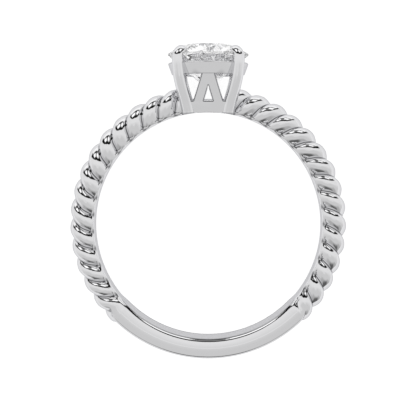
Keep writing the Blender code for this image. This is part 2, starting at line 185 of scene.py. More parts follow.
gold = {
    "colour": (0.83, 0.83, 0.84),
    # painted shade: the colour painted along rounded edges, standing in for their dark reflections
    "edgeColour": (0.24, 0.24, 0.25),
    "edgeTint": (0.74, 0.74, 0.75),     # of what is seen at a glancing angle
    "roughness": (0.018, 0.045),
    "marksPerMetre": 2600.0,
    "cloudDetail": 3.0,
    "hairlineDetail": 1.0,
    "hairlineStretch": ((1.0, 16.0, 3.0), (14.0, 2.0, 5.0)),
    "hairlineDepth": 1.2e-7,       # metres
    "linesAcross": 330.0,
    "linesAlong": 5.0,
    "lineDetail": 2.0,
    "lineRoughness": 0.6,
    "lineDepth": 4.0e-6,           # metres
}


def newMaterial(name):
    material = bpy.data.materials.new(name)
    material.use_nodes = True
    return material, material.node_tree, material.node_tree.nodes["Principled BSDF"]


def setOrLink(tree, socket, value):
    if isinstance(value, bpy.types.NodeSocket):
        tree.links.new(value, socket)
    else:
        socket.default_value = value


def mathNode(tree, operation, *values):
    node = tree.nodes.new("ShaderNodeMath")
    node.operation = operation
    for socket, value in zip(node.inputs, values):
        setOrLink(tree, socket, value)
    return node.outputs[0]


def vectorNode(tree, operation, *values):
    node = tree.nodes.new("ShaderNodeVectorMath")
    node.operation = operation
    for socket, value in zip(node.inputs, values):
        setOrLink(tree, socket, value)
    return node.outputs[0]


def noiseNode(tree, spot, detail, roughness=0.5):
    node = tree.nodes.new("ShaderNodeTexNoise")
    tree.links.new(spot, node.inputs["Vector"])
    node.inputs["Scale"].default_value = 1.0
    node.inputs["Detail"].default_value = detail
    node.inputs["Roughness"].default_value = roughness
    return node.outputs["Fac"]


def rangeNode(tree, value, fromLow, fromHigh, toLow, toHigh):
    node = tree.nodes.new("ShaderNodeMapRange")
    for name, given in (("Value", value), ("From Min", fromLow), ("From Max", fromHigh),
                        ("To Min", toLow), ("To Max", toHigh)):
        setOrLink(tree, node.inputs[name], given)
    return node.outputs[0]


def floatMix(tree, share, first, second):
    node = tree.nodes.new("ShaderNodeMix")
    for socket, value in zip(node.inputs, (share, None, first, second)):
        if value is not None:
            setOrLink(tree, socket, value)
    return node.outputs[0]


def colourMix(tree, share, first, second):
    # A Mix node keeps its colours in sockets 6 and 7 and puts the mixed one out at 2.
    node = tree.nodes.new("ShaderNodeMix")
    node.data_type = "RGBA"
    setOrLink(tree, node.inputs[0], share)
    setOrLink(tree, node.inputs[6], first)
    setOrLink(tree, node.inputs[7], second)
    return node.outputs[2]


def newGroup(name, takes, gives):
    group = bpy.data.node_groups.new(name, "ShaderNodeTree")
    for label, kind in takes:
        group.interface.new_socket(name=label, in_out="INPUT", socket_type="NodeSocket" + kind)
    for label, kind in gives:
        group.interface.new_socket(name=label, in_out="OUTPUT", socket_type="NodeSocket" + kind)
    return (group, group.nodes.new("NodeGroupInput").outputs,
            group.nodes.new("NodeGroupOutput").inputs)


def placeGroup(tree, group, **values):
    node = tree.nodes.new("ShaderNodeGroup")
    node.node_tree = group
    for name, value in values.items():
        setOrLink(tree, node.inputs[name], value)
    return node.outputs


def makePolishMarks():
    # What the polishing wheel leaves: cloudy patches, and hairlines in two directions.
    group, given, result = newGroup("polishMarks", (("Spot", "Vector"), ("Density", "Float")),
                                    (("Cloud", "Float"), ("Hairlines", "Float")))
    spot = vectorNode(group, "SCALE", given["Spot"])
    group.links.new(given["Density"], spot.node.inputs["Scale"])
    group.links.new(noiseNode(group, spot, gold["cloudDetail"]), result["Cloud"])
    lines = []
    for stretch in gold["hairlineStretch"]:
        drawnOut = vectorNode(group, "MULTIPLY", spot, stretch)
        lines.append(noiseNode(group, drawnOut, gold["hairlineDetail"]))
    group.links.new(mathNode(group, "MAXIMUM", *lines), result["Hairlines"])
    return group


def makeDrawnLines():
    # Fine lines that run along a strand, on a map with the twist in U and the strand in V.
    group, given, result = newGroup("drawnLines", (("Map", "Vector"), ("Across", "Float"),
                                                   ("Along", "Float")), (("Height", "Float"),))
    parts = group.nodes.new("ShaderNodeSeparateXYZ")
    group.links.new(given["Map"], parts.inputs[0])
    joined = group.nodes.new("ShaderNodeCombineXYZ")
    group.links.new(mathNode(group, "MULTIPLY", parts.outputs[0], given["Across"]),
                    joined.inputs[0])
    group.links.new(mathNode(group, "MULTIPLY", parts.outputs[1], given["Along"]),
                    joined.inputs[1])
    group.links.new(noiseNode(group, joined.outputs[0], gold["lineDetail"],
                              gold["lineRoughness"]), result["Height"])
    return group


polishMarks = makePolishMarks()
drawnLines = makeDrawnLines()


def makeGold(name, drawn):
    material, tree, shader = newMaterial(name)
    places = tree.nodes.new("ShaderNodeTexCoord").outputs
    # The base colour is darkened along rounded edges: painted shade standing in for their dark
    # reflections.
    edge = tree.nodes.new("ShaderNodeAttribute")
    edge.attribute_name = "edgeShade"
    tree.links.new(colourMix(tree, edge.outputs["Fac"], (*gold["colour"], 1),
                             (*gold["edgeColour"], 1)), shader.inputs["Base Color"])
    shader.inputs["Metallic"].default_value = 1.0
    shader.inputs["Specular Tint"].default_value = (*gold["edgeTint"], 1)
    marks = placeGroup(tree, polishMarks, Spot=places["Object"], Density=gold["marksPerMetre"])
    tree.links.new(rangeNode(tree, marks["Cloud"], *noiseSpread, *gold["roughness"]),
                   shader.inputs["Roughness"])
    height = mathNode(tree, "MULTIPLY", marks["Hairlines"], gold["hairlineDepth"])
    if drawn:
        lines = placeGroup(tree, drawnLines, Map=places["UV"], Across=gold["linesAcross"],
                           Along=gold["linesAlong"])
        height = mathNode(tree, "ADD", height,
                          mathNode(tree, "MULTIPLY", lines["Height"], gold["lineDepth"]))
    bump = tree.nodes.new("ShaderNodeBump")
    bump.inputs["Distance"].default_value = 1.0     # the height is in metres
    tree.links.new(height, bump.inputs["Height"])
    tree.links.new(bump.outputs[0], shader.inputs["Normal"])
    return material


diamond = {
    "colour": (1.0, 1.0, 1.0),
    "refraction": 2.418,
    "girdleRoughness": 0.30,
}


def makeDiamondMaterial():
    material, tree, shader = newMaterial("brilliantDiamond")
    shader.inputs["Base Color"].default_value = (*diamond["colour"], 1)
    shader.inputs["Metallic"].default_value = 0.0
    shader.inputs["IOR"].default_value = diamond["refraction"]
    shader.inputs["Transmission Weight"].default_value = 1.0
    girdle = tree.nodes.new("ShaderNodeAttribute")
    girdle.attribute_name = "girdle"
    tree.links.new(mathNode(tree, "MULTIPLY", girdle.outputs["Fac"], diamond["girdleRoughness"]),
                   shader.inputs["Roughness"])
    return material


strandGold = makeGold("strandGold", drawn=True)
settingGold = makeGold("settingGold", drawn=False)
brilliantDiamond = makeDiamondMaterial()

# Shank

bore = {
    "radius": 8.65,
    "cutterSides": 360,
    "cutterLength": 12.0,
}

shank = {
    "bandHalf": 0.64,              # half of its width along the finger, at the finger hole
    "ropeHalf": 1.03,
    "thickAtHead": 2.03,
    "thickAtBar": 1.83,
    "lobes": 15,                   # on each side of the head
    "firstLobe": 14.60,            # degrees from the head
    "lastLobe": 133.25,
    "grooveDepth": 0.33,
    "grooveRoundness": 0.62,
    "lobeLean": 0.325,             # how far each strand's crest leans towards the head
    "grooveFade": 0.27,            # above the finger hole, where the grooves run out
    "swing": 40.0,                 # degrees that a section turns below the rope's widest point
    "rimRound": 0.42,              # radius of the rounding beside the finger hole
    "rimTilt": (90.0, 25.0),       # of that rounding, at the finger hole and at the side
    "barThick": 1.60,
    "barHalf": 1.01,
    "barEdge": 0.36,               # radius of its outer edges
    "barCornerTilt": 77.7,         # where those edges end, in degrees
    "barCornerShare": 0.5,         # of the outside's steps, that they take
    "barRise": 0.07,               # of the outer side, from those edges to its middle
    "barRound": 0.47,              # radius of its rounding beside the finger hole
    "barTilt": (50.0, 12.0),       # of that rounding
    "barCrown": 0.05,              # of its two flat sides
    "shoulder": (1.10, 0.40),      # length of its step, at the finger hole and outside
    "cutX": 1.78,                  # the rope's ends stop inside the setting
    "ringsPerLobe": 20,
    "outsideSteps": 36,
    "sideSteps": 14,
    "edgeSteps": 8,
    "boreSteps": 8,
    "barRings": 72,
    "barStart": (128.6, 135.2),    # degrees from the head, at the finger hole and outside
    "barSlant": 0.85,              # the first holds up to this height, the second from twice it
    "barPhase": 0.5,               # place in the twist of the bar's rows, where it doesn't show
    "spareTwist": 1.5,             # lobes that run on below the bar's start
    "sharpAngle": 36.0,
}

lobePitch = (shank["lastLobe"] - shank["firstLobe"]) / (shank["lobes"] - 1)


def ropeThickness(fromHead):
    last = shank["barStart"][1]
    end = (1 + math.cos(math.radians(last))) / 2
    here = (1 + math.cos(math.radians(min(fromHead, last)))) / 2
    share = (here - end) / (1 - end)
    return shank["thickAtBar"] + (shank["thickAtHead"] - shank["thickAtBar"]) * share


def grooveShare(phase):
    side = phase - round(phase)
    offCrest = 2 * abs(side)
    offCrest *= 1 + math.copysign(shank["lobeLean"], side) * (1 - offCrest)
    roundness = shank["grooveRoundness"]
    drop = 1 - math.sqrt(1 - (roundness * offCrest) ** 2)
    return drop / (1 - math.sqrt(1 - roundness ** 2))


def sectionStops():
    # Once round the band's section: kind, share along it. It starts in the middle of the bore.
    stops = []
    half = shank["boreSteps"] // 2
    stops += [("bore", -i / half) for i in range(half)]
    stops += [("frontEdge", i / shank["edgeSteps"]) for i in range(shank["edgeSteps"])]
    stops += [("frontSide", i / shank["sideSteps"]) for i in range(shank["sideSteps"])]
    stops += [("outside", i / shank["outsideSteps"]) for i in range(shank["outsideSteps"])]
    stops += [("backSide", i / shank["sideSteps"]) for i in range(shank["sideSteps"])]
    stops += [("backEdge", i / shank["edgeSteps"]) for i in range(shank["edgeSteps"])]
    stops += [("bore", 1 - i / half) for i in range(half + 1)]
    return stops


def rimArc(radius, tilts, way):
    # A rounding beside the finger hole: above the bore, inside the side, and the tilt there.
    tiltIn, tiltOut = (math.radians(angle) for angle in tilts)
    tilt = tiltIn + (tiltOut - tiltIn) * way
    return (radius * (math.sin(tiltIn) - math.sin(tilt)),
            radius * (math.cos(tiltOut) - math.cos(tilt)), tilt)


def ropeSection(kind, share, thickness, depth):
    # (above the bore, along the finger) and how far round the rope, in radians
    half = shank["ropeHalf"]
    middle = thickness - half
    swing = math.radians(shank["swing"])
    rimTop = rimArc(shank["rimRound"], shank["rimTilt"], 1.0)[0]

    def flank(above):
        return half - (half - shank["bandHalf"]) * ((middle - above) / middle) ** 2

    if kind == "bore":
        rimIn = rimArc(shank["rimRound"], shank["rimTilt"], 0.0)[1]
        return 0.0, share * (flank(rimTop) - rimIn), math.pi / 2 + share * (math.pi / 2 + swing)
    side = -1 if kind.startswith("front") else 1
    way = share if kind.startswith("front") else 1 - share
    if kind.endswith("Edge"):
        above, inside, tilt = rimArc(shank["rimRound"], shank["rimTilt"], way)
        across = side * (flank(rimTop) - inside)
        turn = math.pi / 2 + side * (math.pi / 2 + swing)
        outUp, outAcross = -math.sin(tilt), side * math.cos(tilt)
    elif kind.endswith("Side"):
        above = rimTop + (middle - rimTop) * way
        across = side * flank(above)
        turn = math.pi / 2 + side * (math.pi / 2 + swing * (1 - way))
        outUp, outAcross = 0.0, side
    else:
        turn = math.pi * share
        above = middle + half * math.sin(turn)
        across = -half * math.cos(turn)
        outUp, outAcross = math.sin(turn), -math.cos(turn)
    sink = shank["grooveDepth"] * depth * blendOver(above / shank["grooveFade"])
    return above - outUp * sink, across - outAcross * sink, turn


def barSection(kind, share):
    # (above the bore, along the finger)
    corner, crown = shank["barEdge"], shank["barCrown"]
    half = shank["barHalf"] - crown
    cornerTilt = math.radians(shank["barCornerTilt"])
    cornerTop = shank["barThick"] - shank["barRise"]
    sideTop = cornerTop - corner * math.sin(cornerTilt)
    rimTop = rimArc(shank["barRound"], shank["barTilt"], 1.0)[0]
    side = -1 if kind.startswith("front") else 1
    way = share if kind.startswith("front") else 1 - share
    if kind == "bore":
        return 0.0, share * (half - rimArc(shank["barRound"], shank["barTilt"], 0.0)[1])
    if kind.endswith("Edge"):
        above, inside = rimArc(shank["barRound"], shank["barTilt"], way)[:2]
        return above, side * (half - inside)
    if kind.endswith("Side"):
        return (rimTop + (sideTop - rimTop) * way,
                side * (half + crown * (1 - (2 * way - 1) ** 2)))
    side = -1 if share < 0.5 else 1
    way = 2 * min(share, 1 - share)
    if way < shank["barCornerShare"]:
        tilt = cornerTilt * way / shank["barCornerShare"]
        return sideTop + corner * math.sin(tilt), side * (half - corner * (1 - math.cos(tilt)))
    toMiddle = (way - shank["barCornerShare"]) / (1 - shank["barCornerShare"])
    return (cornerTop + shank["barRise"] * (1 - (1 - toMiddle) ** 2),
            side * (half - corner * (1 - math.cos(cornerTilt))) * (1 - toMiddle))


def shankRows():
    # Degrees from the head and place in the twist, for each row of the grid.
    arm = []
    first = -math.floor(shank["firstLobe"] / lobePitch * shank["ringsPerLobe"])
    last = round((shank["lobes"] - 1 + shank["spareTwist"]) * shank["ringsPerLobe"])
    for step in range(first, last + 1):
        phase = step / shank["ringsPerLobe"]
        arm.append((shank["firstLobe"] + phase * lobePitch, phase))
    armEnd = arm[-1][0]
    bar = []
    for step in range(1, shank["barRings"]):
        bar.append((armEnd + (360 - 2 * armEnd) * step / shank["barRings"],
                    shank["barPhase"]))
    return arm + bar + [(360 - angle, phase) for angle, phase in reversed(arm)]


def makeShank():
    stops = sectionStops()
    rows = shankRows()
    twist = lobePitch / math.pi      # degrees along the ring for each radian round the rope

    def pointAt(row, column):
        angle, phase = rows[row]
        kind, share = stops[column]
        depth = grooveShare(phase)
        fromHead = angle if angle <= 180 else 360 - angle
        up, across, turn = ropeSection(kind, share, ropeThickness(abs(fromHead)), depth)
        angle += twist * (turn - math.pi / 2)
        fromHead = angle if angle <= 180 else 360 - angle
        outward = blendOver(up / shank["barSlant"] - 1)
        start, length = (inner + (outer - inner) * outward
                         for inner, outer in (shank["barStart"], shank["shoulder"]))
        shoulderTurn = math.degrees(length / (bore["radius"] + shank["barThick"]))
        intoBar = min(1.0, max(0.0, (fromHead - start) / shoulderTurn))
        barShare = math.sin(intoBar * math.pi / 2)
        barUp, barAcross = barSection(kind, share)
        up += (barUp - up) * barShare
        across += (barAcross - across) * barShare
        radius = bore["radius"] + up
        way = math.radians(angle)
        return Vector((radius * math.sin(way), across, radius * math.cos(way)))

    shape = gridPiece(len(rows) - 1, len(stops) - 1, pointAt)
    for side in (-1, 1):
        upper = [face for face in shape.faces if face.calc_center_median().z > 0]
        touched = {edge for face in upper for edge in face.edges}
        touched |= {vert for face in upper for vert in face.verts}
        bmesh.ops.bisect_plane(shape, geom=upper + list(touched), dist=making["plane"],
                               plane_co=(side * shank["cutX"], 0, 0), plane_no=(side, 0, 0))
    within = [v for v in shape.verts if v.co.z > 0 and abs(v.co.x) < shank["cutX"] - making["weld"]]
    bmesh.ops.delete(shape, geom=within, context="VERTS")
    closeEnds(shape)
    return finishPiece("twistedShank", shape, strandGold, sharpAngle=shank["sharpAngle"])


twistedShank = makeShank()
print("made the shank:", len(twistedShank.data.polygons), "faces")

# Stone

stone = {
    "radius": 3.05,
    "blockHeight": 4.0,            # of the disc that it is cut from, in radii
    "table": 0.57,                 # share of the stone's width
    "crownAngle": 27.5,
    "pavilionAngle": 39.5,
    "starShare": 0.50,             # of the way from the table to the girdle
    "lowerShare": 0.77,            # of the way from the girdle to the culet
    "girdle": 0.14,
    "girdleUpright": 1e-3,         # facets this near to upright are the girdle's
    "mains": 8,
    "girdleSides": 96,
    "height": 4.31,                # of the girdle above the finger hole
    "turn": 10.0,                  # degrees about its own axis
}
girdleZ = bore["radius"] + stone["height"]


def around(radius, degrees, height):
    azimuth = math.radians(degrees)
    return Vector((radius * math.cos(azimuth), radius * math.sin(azimuth), height))


def cutFacet(shape, corners):
    # Grinds away all that lies outside the plane of three corners.
    a, b, c = corners
    normal = (b - a).cross(c - a).normalized()
    if normal.dot(a) < 0:
        normal.negate()
    cut = bmesh.ops.bisect_plane(shape, geom=shape.verts[:] + shape.edges[:] + shape.faces[:],
                                 dist=making["plane"], plane_co=a, plane_no=normal, clear_outer=True)
    rim = [item for item in cut["geom_cut"] if isinstance(item, bmesh.types.BMEdge)]
    if rim:
        bmesh.ops.contextual_create(shape, geom=rim)


def makeStone():
    # A round brilliant, cut from a disc facet by facet.
    radius, half = stone["radius"], stone["girdle"] / 2
    step = 360 / stone["mains"]
    slant = math.cos(math.radians(step / 2))
    crownRise = math.tan(math.radians(stone["crownAngle"]))
    pavilionDrop = math.tan(math.radians(stone["pavilionAngle"]))
    crownTop = half + radius * (1 - stone["table"]) * crownRise
    culet = -half - radius * pavilionDrop
    tableEdge = stone["table"] * radius * slant
    starTip = tableEdge + (radius - tableEdge) * stone["starShare"]
    starZ = half + (radius - starTip * slant) * crownRise
    lowTip = radius * (1 - stone["lowerShare"])
    lowZ = -half - (radius - lowTip * slant) * pavilionDrop
    shape = bmesh.new()
    bmesh.ops.create_cone(shape, cap_ends=True, segments=stone["girdleSides"], radius1=radius,
                          radius2=radius, depth=stone["blockHeight"] * radius)
    cutFacet(shape, [around(1, angle, crownTop) for angle in (0, 120, 240)])
    for i in range(stone["mains"]):
        star, main = stone["turn"] + i * step, stone["turn"] + (i + 0.5) * step
        tableCorner = around(stone["table"] * radius, main, crownTop)
        previousCorner = around(stone["table"] * radius, main - step, crownTop)
        cutFacet(shape, [tableCorner, around(starTip, star, starZ), around(radius, main, half)])
        cutFacet(shape, [tableCorner, previousCorner, around(starTip, star, starZ)])
        cutFacet(shape, [around(lowTip, star, lowZ), around(radius, main, -half),
                         Vector((0, 0, culet))])
        for way in (-1, 1):
            corner = star + way * step / 2
            cutFacet(shape, [around(starTip, star, starZ), around(radius, star, half),
                             around(radius, corner, half)])
            cutFacet(shape, [around(lowTip, star, lowZ), around(radius, star, -half),
                             around(radius, corner, -half)])
    girdle = shape.faces.layers.float.new("girdle")
    for face in shape.faces:
        face[girdle] = 1.0 if abs(face.normal.z) < stone["girdleUpright"] else 0.0
    bmesh.ops.translate(shape, verts=shape.verts, vec=(0, 0, girdleZ))
    return finishPiece("brilliantStone", shape, brilliantDiamond, smooth=False)


brilliantStone = makeStone()
print("cut the stone:", len(brilliantStone.data.polygons), "facets")

# Setting

rail = {
    "drop": 0.60,                  # from the girdle down to its top
    "height": 0.91,
    "thickness": 0.60,
    "taper": 0.30,
    "chamfer": 0.10,
    "edgeRound": 0.04,
    "sharpOver": 20.0,             # degrees: bends over this are rounded
    "lapShare": 0.25,              # of its height, that the pierced sides reach up behind it
    "steps": 144,
}
railTop = girdleZ - rail["drop"]
railBottom = railTop - rail["height"]
railLowRadius = stone["radius"] - rail["taper"]

claw = {
    "count": 4,
    "diameter": 0.92,
    "footDiameter": 1.02,
    "grip": 0.40,
    "footSpread": 1.45,            # of a foot's middle, along X and along Y
    "footDepth": 0.40,             # below the finger hole's edge, before it is cut
    "tipBend": 62.0,
    "tipRadius": 0.45,
    "tipLength": 1.1,              # of the rounded end, in radii
    "pivotGap": 0.04,              # between a bend's pivot and the claw's inner side
    "rows": 46,
    "bendRows": 14,
    "capRows": 10,
    "sides": 32,
    "stem": [
        # height, spread
        (0.00, 0.00),
        (0.17, 0.22),
        (0.32, 0.47),
        (0.47, 0.70),
        (0.61, 0.87),
        (0.75, 0.96),
        (0.84, 1.00),
        (0.93, 1.00),
    ],
}

pierced = {
    "thickness": 0.60,
    "topWidth": 0.92,
    "legFoot": 0.72,
    "windowWidth": 0.73,
    "windowHeight": 1.18,
    "sill": 0.80,                  # of the windows' lower ends above the finger hole
    "setBack": 0.15,               # behind the claws' fronts, at the foot
    "edgeRound": 0.07,
    "sharpOver": 60.0,
    "cornerRound": 0.07,
    "cornerSegments": 5,
    "flatOver": 0.6,
}

base = {
    "halfLength": 1.88,
    "lightHole": 0.90,             # radius of the hole under the stone
    "holeSides": 64,
    "holeLength": 3.0,
    "edgeRound": 0.04,
    "topGap": 0.02,                # below the sill
    "sink": 1.5,                   # below the finger hole's edge, in overlaps
}

seat = {
    "clearance": 0.02,
    "sides": 96,
}
overlap = 0.20                     # how far one piece runs into the next
railLap = overlap / 4              # how far the pierced sides lean in under the rail


def between(table, way):
    # The table's row at a share of its length, smoothed through its neighbours.
    spot = way * (len(table) - 1)
    low = min(int(spot), len(table) - 2)
    part = spot - low
    rows = [table[max(low - 1, 0)], table[low], table[low + 1],
            table[min(low + 2, len(table) - 1)]]
    return [0.5 * (2 * b + (c - a) * part + (2 * a - 5 * b + 4 * c - d) * part ** 2
                   + (3 * b - a - 3 * c + d) * part ** 3) for a, b, c, d in zip(*rows)]


clawRadius = claw["diameter"] / 2
clawTopReach = stone["radius"] + clawRadius - claw["grip"]
clawFootReach = claw["footSpread"] * math.sqrt(2)
footFront = claw["footSpread"] + clawRadius - pierced["setBack"]
lean = math.atan2(railLowRadius - railLap - footFront, railBottom - bore["radius"])


def clawPoint(row, column):
    # In the claw's own plane: X away from the head's axis, Y to the side, Z up.
    turn = 2 * math.pi * (column % claw["sides"]) / claw["sides"]
    if row <= claw["rows"]:
        if row == 0:
            height, spread = -claw["footDepth"] / stone["height"], 0.0
        else:
            height, spread = between(claw["stem"], (row - 1) / (claw["rows"] - 1))
        reach = clawFootReach + (clawTopReach - clawFootReach) * spread
        radius = (claw["footDiameter"] + (claw["diameter"] - claw["footDiameter"]) * spread) / 2
        return Vector((reach + radius * math.cos(turn), radius * math.sin(turn),
                       bore["radius"] + stone["height"] * height))
    topZ = bore["radius"] + stone["height"] * claw["stem"][-1][0]
    pivot = Vector((clawTopReach - clawRadius - claw["pivotGap"], topZ))
    step = row - claw["rows"]
    share = min(1.0, step / claw["bendRows"])
    cap = math.pi / 2 * max(0, step - claw["bendRows"]) / claw["capRows"]
    bend = math.radians(claw["tipBend"]) * share
    radius = clawRadius + (claw["tipRadius"] - clawRadius) * blendOver(share)
    outward = Vector((math.cos(bend), math.sin(bend)))
    forward = Vector((-math.sin(bend), math.cos(bend)))
    middle = (pivot + outward * (claw["pivotGap"] + radius)
              + forward * radius * claw["tipLength"] * math.sin(cap))
    point = middle + outward * radius * math.cos(cap) * math.cos(turn)
    return Vector((point.x, radius * math.cos(cap) * math.sin(turn), point.y))


def makeCutters():
    finger = bmesh.new()
    bmesh.ops.create_cone(finger, cap_ends=True, segments=bore["cutterSides"],
                          radius1=bore["radius"], radius2=bore["radius"],
                          depth=bore["cutterLength"],
                          matrix=Matrix.Rotation(math.pi / 2, 4, "X"))
    half = stone["girdle"] / 2 + 2 * seat["clearance"]
    rim = stone["radius"] + seat["clearance"]
    crown = half + rim * math.tan(math.radians(stone["crownAngle"]))
    pavilion = half + rim * math.tan(math.radians(stone["pavilionAngle"]))
    seatShape = turnedRing([(0, girdleZ + crown), (rim, girdleZ + half), (rim, girdleZ - half),
                            (0, girdleZ - pavilion)], seat["sides"], closed=False)
    hole = bmesh.new()
    bmesh.ops.create_cone(hole, cap_ends=True, segments=base["holeSides"],
                          radius1=base["lightHole"], radius2=base["lightHole"],
                          depth=base["holeLength"],
                          matrix=Matrix.Translation((0, 0, bore["radius"])))
    return (plainObject("fingerCutter", finger), plainObject("seatCutter", seatShape),
            plainObject("holeCutter", hole))


fingerCutter, seatCutter, holeCutter = makeCutters()


def makeRail():
    top, low, wall = stone["radius"], railLowRadius, rail["thickness"]
    shape = turnedRing([(top - rail["chamfer"], railTop), (top, railTop - rail["chamfer"]),
                        (low, railBottom), (low - wall, railBottom), (top - wall, railTop)],
                       rail["steps"])
    roundEdges(shape, sharpEdges(shape, rail["sharpOver"]), rail["edgeRound"])
    return finishPiece("galleryRail", shape, settingGold)


def makeClaws():
    whole = bmesh.new()
    for index in range(claw["count"]):
        shape = gridPiece(claw["rows"] + claw["bendRows"] + claw["capRows"], claw["sides"],
                          clawPoint)
        closeEnds(shape)
        turn = (index + 0.5) * 2 * math.pi / claw["count"]
        bmesh.ops.rotate(shape, verts=shape.verts, cent=(0, 0, 0),
                         matrix=Matrix.Rotation(turn, 3, "Z"))
        addShape(whole, cutAway(shape, [seatCutter, fingerCutter]))
    return finishPiece("claws", whole, settingGold)


def drawLoop(shape, points, roundCorners, radius):
    # A closed line through (along X, up) points, with the named corners rounded.
    verts = [shape.verts.new((x, 0.0, height)) for x, height in points]
    for first, second in zip(verts, verts[1:] + verts[:1]):
        shape.edges.new((first, second))
    bmesh.ops.bevel(shape, geom=[verts[i] for i in roundCorners], offset=radius,
                    offset_type="OFFSET", segments=pierced["cornerSegments"], profile=0.5,
                    affect="VERTICES", material=-1)


def makePiercedSides():
    # Drawn upright, then leaned, so heights are stretched to what they are along the slope.
    along = 1 / math.cos(lean)
    sill = pierced["sill"] * along
    bottom = -overlap * along
    lowRail = (railBottom - bore["radius"]) * along
    top = lowRail + rail["height"] * rail["lapShare"] * along
    legFoot = pierced["windowWidth"] / 2 + pierced["legFoot"]
    corner, halfTop = claw["footSpread"], pierced["topWidth"] / 2
    outline = [(-corner, bottom), (corner, bottom), (corner, sill), (legFoot, sill),
               (halfTop, lowRail), (halfTop, top), (-halfTop, top), (-halfTop, lowRail),
               (-legFoot, sill), (-corner, sill)]
    window = [(-pierced["windowWidth"] / 2, sill), (pierced["windowWidth"] / 2, sill),
              (0.0, sill + pierced["windowHeight"] * along)]
    whole = bmesh.new()
    for side in (0, 1):
        shape = bmesh.new()
        drawLoop(shape, outline, (3, 8), pierced["cornerRound"])
        drawLoop(shape, window, (0, 1, 2), pierced["cornerRound"] / 2)
        bmesh.ops.triangle_fill(shape, edges=shape.edges[:], use_beauty=True, use_dissolve=True,
                                normal=(0, -1, 0))
        grown = bmesh.ops.extrude_face_region(shape, geom=shape.faces[:])
        moved = [item for item in grown["geom"] if isinstance(item, bmesh.types.BMVert)]
        bmesh.ops.translate(shape, verts=moved, vec=(0, pierced["thickness"], 0))
        bmesh.ops.recalc_face_normals(shape, faces=shape.faces)
        roundEdges(shape, sharpEdges(shape, pierced["sharpOver"]), pierced["edgeRound"],
                   clamp=False)
        bmesh.ops.transform(shape, verts=shape.verts,
                            matrix=Matrix.Rotation(side * math.pi, 4, "Z")
                            @ Matrix.Translation((0, -footFront, bore["radius"]))
                            @ Matrix.Rotation(lean, 4, "X"))
        addShape(whole, shape)
    return finishPiece("piercedSides", cutAway(whole, [fingerCutter]), settingGold,
                       flatOver=pierced["flatOver"])


def makeBase():
    sill = bore["radius"] + pierced["sill"]
    halfY = footFront - pierced["thickness"] / 2
    shape = bmesh.new()
    bmesh.ops.create_cube(shape, size=1.0)
    for vert in shape.verts:
        upper = vert.co.z > 0
        spread = math.tan(lean) * (pierced["sill"] + overlap) if upper else 0.0
        vert.co = (math.copysign(base["halfLength"], vert.co.x),
                   math.copysign(halfY + spread, vert.co.y),
                   sill - base["topGap"] if upper else bore["radius"] - base["sink"] * overlap)
    roundEdges(shape, shape.edges[:], base["edgeRound"])
    return finishPiece("settingBase", cutAway(shape, [fingerCutter, holeCutter]), settingGold,
                       flatOver=pierced["flatOver"])


galleryRail = makeRail()
claws = makeClaws()
piercedSides = makePiercedSides()
settingBase = makeBase()
for cutter in (fingerCutter, seatCutter, holeCutter):
    bpy.data.objects.remove(cutter, do_unlink=True)
print("made the setting")

metalPieces = (twistedShank, galleryRail, claws, piercedSides, settingBase)
for piece in metalPieces:
    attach(piece, "root")
    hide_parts("band_with_setting")
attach(brilliantStone, "root")
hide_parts("diamond")

# Studio

studio = {
    "floorSize": 2.0,
    "floorColour": (0.35, 0.35, 0.352),
    "floorGlow": (0.86, 0.86, 0.86),      # the paper lies on a light table
    "floorInGold": (0.65, 0.65, 0.655),   # and is reflected less brightly
    "floorRoughness": 0.9,
    "grainPerMetre": 9000.0,
    "grainDetail": 2.0,
    "grainShade": 0.96,            # of the paper's darker spots
    "backdrop": 1.0,
    "stoneLight": (1.10, 0.90),    # seen through the stone, and how far it evens the room out
    "bounces": 24,
    "glossyBounces": 16,
    "archPower": 3.0,              # how square an arched box stays
    "level": 0.86,                 # of the room, before its soft boxes
    "boxes": [
        # azimuth from the head's end, elevation, width, height, blur in degrees, arch, brightness
        (0, 90, 360, 100, 40, 0, 0.88),
        (180, 30, 150, 90, 40, 0, 0.69),
        (180, 10, 80, 34, 16, 0, 0.47),
        (180, 72, 150, 3, 2, 0, 0.86),
        (180, 9, 34, 24, 14, 0, 0.12),
        # the frame of an arched window, what it frames, its crossbar and its two panes
        (0, 14, 126, 108, 3, 1, 0.01),
        (0, 14, 97, 76, 3, 1, 0.26),
        (0, -2, 130, 12, 8, 0, 0.75),
        (0, 4, 92, 26, 6, 0, 1.10),
        (0, 25, 52, 13, 6, 0, 0.02),
        (-28, 38, 32, 20, 6, 0, 1.30),
        (26, 35, 32, 20, 6, 0, 1.20),
    ],
}


def makeFloor():
    shape = bmesh.new()
    bmesh.ops.create_grid(shape, x_segments=1, y_segments=1, size=studio["floorSize"] / 2)
    floor = newObject("floor", shape)
    material, tree, shader = newMaterial("floorPaper")
    spot = vectorNode(tree, "SCALE", tree.nodes.new("ShaderNodeTexCoord").outputs["Object"])
    spot.node.inputs["Scale"].default_value = studio["grainPerMetre"]
    grain = rangeNode(tree, noiseNode(tree, spot, studio["grainDetail"]), *noiseSpread, 0.0, 1.0)
    darker = [studio["grainShade"] * value for value in studio["floorColour"]]
    tree.links.new(colourMix(tree, grain, (*studio["floorColour"], 1), (*darker, 1)),
                   shader.inputs["Base Color"])
    shader.inputs["Roughness"].default_value = studio["floorRoughness"]
    rays = tree.nodes.new("ShaderNodeLightPath").outputs
    seen = mathNode(tree, "MAXIMUM", rays["Is Camera Ray"], rays["Is Transmission Ray"])
    tree.links.new(colourMix(tree, seen, (*studio["floorInGold"], 1), (*studio["floorGlow"], 1)),
                   shader.inputs["Emission Color"])
    shader.inputs["Emission Strength"].default_value = 1.0
    floor.data.materials.append(material)


